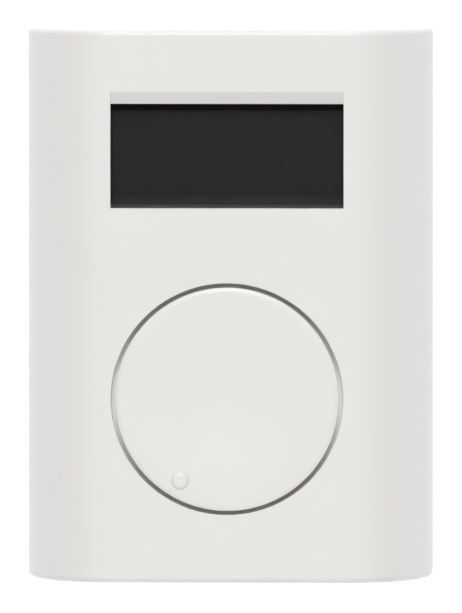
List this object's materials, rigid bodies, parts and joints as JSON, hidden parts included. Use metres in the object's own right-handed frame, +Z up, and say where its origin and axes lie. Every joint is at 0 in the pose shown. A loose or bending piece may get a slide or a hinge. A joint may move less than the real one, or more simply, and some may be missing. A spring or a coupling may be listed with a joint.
{
  "type": "wall thermostat",
  "caption": "Upright wall room thermostat with side-curved white case, dark display window in its top third and a large flush dished push dial below, hinged open over its wall plate.",
  "frame": {"origin": "middle of the wall plate's rear face, where it meets the wall", "axes": "+Z up the wall, +Y into the wall, +X to the right as seen from the room; the face looks along -Y"},
  "size_m": [0.0662, 0.0223, 0.0902],
  "materials": {
    "case_plastic": "fine satin moulded texture",
    "dial_plastic": "satin",
    "smoked_window": "polished, smoked",
    "foam": "closed-cell foam",
    "display_glass": "polarised",
    "film": "polarising film",
    "contact_rubber": "layered silicone",
    "light_guide_plastic": "frosted back",
    "frame_plastic": "matt",
    "led_plastic": "gloss",
    "board_laminate": "solder mask",
    "zinc_screw": "zinc plated",
    "encoder_plastic": "matt",
    "steel_sheet": "stamped",
    "spring_steel": "bright",
    "shaft_metal": "turned",
    "inner_plastic": "matt",
    "chip_black": "moulded epoxy",
    "can_aluminium": "bright can",
    "ferrite": "sintered",
    "chip_ceramic": "ceramic",
    "sensor_resin": "dipped resin",
    "contact_metal": "bright",
    "base_plastic": "matt",
    "terminal_plastic": "matt"
  },
  "bodies": {
    "wall_base": {"back_plate": "base_plastic", "cover_latch": "base_plastic", "terminal_block": "terminal_plastic", "terminal_clamps": "zinc_screw", "terminal_screws": "zinc_screw", "contact_strips": "contact_metal"},
    "front_unit": {"front_cover": "case_plastic", "display_lens": "smoked_window", "display_gasket": "foam", "polarising_film": "film", "lcd_panel": "display_glass", "lcd_connector": "contact_rubber", "light_guide": "light_guide_plastic", "lcd_frame": "frame_plastic", "backlight_leds": "led_plastic", "main_board": "board_laminate", "board_screws": "zinc_screw", "encoder_base": "encoder_plastic", "push_dome": "spring_steel", "detent_spring": "spring_steel", "encoder_housing": "steel_sheet", "encoder_pins": "contact_metal", "microcontroller": "chip_black", "bus_transceiver": "chip_black", "capacitors": "can_aluminium", "inductor": "ferrite", "crystal": "can_aluminium", "chip_parts": "chip_ceramic", "temperature_sensor": "sensor_resin", "spring_contacts": "contact_metal"},
    "encoder_rotor": {"encoder_rotor": "inner_plastic"},
    "dial": {"dial_knob": "dial_plastic", "dial_shaft": "shaft_metal", "dial_clip": "spring_steel"},
    "push_plunger": {"push_plunger": "inner_plastic"}
  },
  "joints": [
    {"name": "cover_open", "type": "hinge", "parent": "wall_base", "child": "front_unit", "pos_m": [0, -0.0024, 0.041], "axis": [-1, 0, 0], "range_deg": [0, 35], "deforming": ["cover_latch", "spring_contacts"]},
    {"name": "dial_turn", "type": "hinge", "parent": "front_unit", "child": "encoder_rotor", "pos_m": [0, -0.0129, -0.0151], "axis": [0, -1, 0], "continuous": true, "deforming": ["detent_spring"]},
    {"name": "dial_push", "type": "slide", "parent": "encoder_rotor", "child": "dial", "axis": [0, 1, 0], "range_m": [0, 0.0005], "stiffness_N_per_m": 3000, "springref_m": -0.0005},
    {"name": "plunger_push", "type": "slide", "parent": "front_unit", "child": "push_plunger", "axis": [0, 1, 0], "range_m": [0, 0.00055], "deforming": ["push_dome"]}
  ],
  "couplings": [
    {"joint": "plunger_push", "follows": "dial_push", "ratio": 1}
  ]
}
